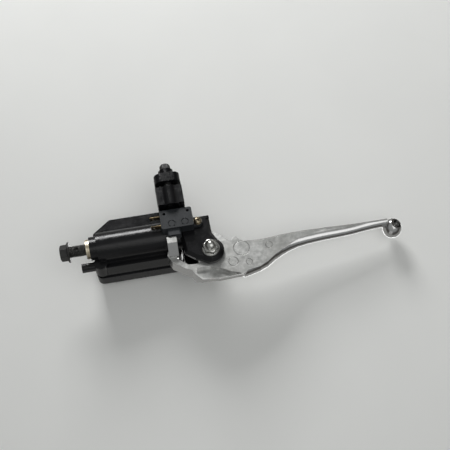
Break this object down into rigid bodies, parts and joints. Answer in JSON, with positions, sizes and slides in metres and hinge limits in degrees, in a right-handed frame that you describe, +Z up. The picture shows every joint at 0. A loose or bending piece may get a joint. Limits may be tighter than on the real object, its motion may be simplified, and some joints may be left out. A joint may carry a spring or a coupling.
{
  "type": "brake master cylinder",
  "caption": "Handlebar brake master cylinder with cast-in reservoir, bar clamp, ball-end lever, brake light switch and hose bolt.",
  "frame": {"origin": "centre of the handlebar clamp", "axes": "+X along the handlebar towards the lever's ball end, +Y forwards away from the rider, +Z up towards the reservoir cap"},
  "size_m": [0.2885, 0.1075, 0.0633],
  "materials": {
    "cast_black": "semi-gloss black paint over a sand-textured casting",
    "cap_black": "smooth black",
    "lever_alloy": "polished and tumbled cast alloy",
    "zinc_bright": "bright zinc plate",
    "black_steel": "black oxide steel",
    "copper_washer": "plain sealing washer",
    "piston_alloy": "anodised",
    "rubber_black": "moulded rubber",
    "spring_steel": "drawn wire",
    "switch_plastic": "moulded black nylon",
    "switch_cover_plastic": "moulded black nylon",
    "plunger_white": "acetal",
    "brass_terminal": "tinned brass",
    "sight_clear": "clear",
    "bush_bronze": "sintered bronze"
  },
  "bodies": {
    "housing": {"banjo_bolt": "black_steel", "banjo_washers": "copper_washer", "body_casting": "cast_black", "cap_screws": "zinc_bright", "clamp_bolts": "black_steel", "clamp_cap": "cast_black", "clamp_washers": "black_steel", "diaphragm": "rubber_black", "diaphragm_plate": "switch_plastic", "dust_boot": "rubber_black", "piston_spring": "spring_steel", "pivot_bolt": "zinc_bright", "pivot_nut": "zinc_bright", "reservoir_cap": "cap_black", "sight_glass": "sight_clear", "sight_glass_ring": "rubber_black", "snap_ring": "spring_steel", "splash_plate": "zinc_bright", "stop_washer": "zinc_bright", "switch_cover": "switch_cover_plastic", "switch_housing": "switch_plastic", "switch_screw": "zinc_bright", "switch_screw_washer": "zinc_bright", "switch_spring": "spring_steel", "switch_terminals": "brass_terminal"},
    "piston_set": {"piston": "piston_alloy", "primary_cup": "rubber_black", "secondary_cup": "rubber_black", "spring_guide": "zinc_bright"},
    "lever": {"brake_lever": "lever_alloy", "pivot_bush": "bush_bronze"},
    "plunger_set": {"switch_plunger": "plunger_white", "switch_contact": "brass_terminal"}
  },
  "joints": [
    {"name": "lever_pivot", "type": "hinge", "parent": "housing", "child": "lever", "pos_m": [0.026, 0.06, 0.004], "axis": [0, 0, -1], "range_deg": [0, 12], "stiffness_Nm_per_rad": 1.2},
    {"name": "piston_slide", "type": "slide", "parent": "housing", "child": "piston_set", "axis": [-1, 0, 0], "range_m": [0, 0.0056], "deforming": ["piston_spring", "dust_boot"]},
    {"name": "plunger_slide", "type": "slide", "parent": "housing", "child": "plunger_set", "axis": [0, 1, 0], "range_m": [0, 0.0018], "deforming": ["switch_spring"]}
  ],
  "couplings": [
    {"joint": "piston_slide", "follows": "lever_pivot", "m_per_rad": 0.025392},
    {"joint": "plunger_slide", "follows": "lever_pivot", "m_per_rad": 0.007639}
  ]
}
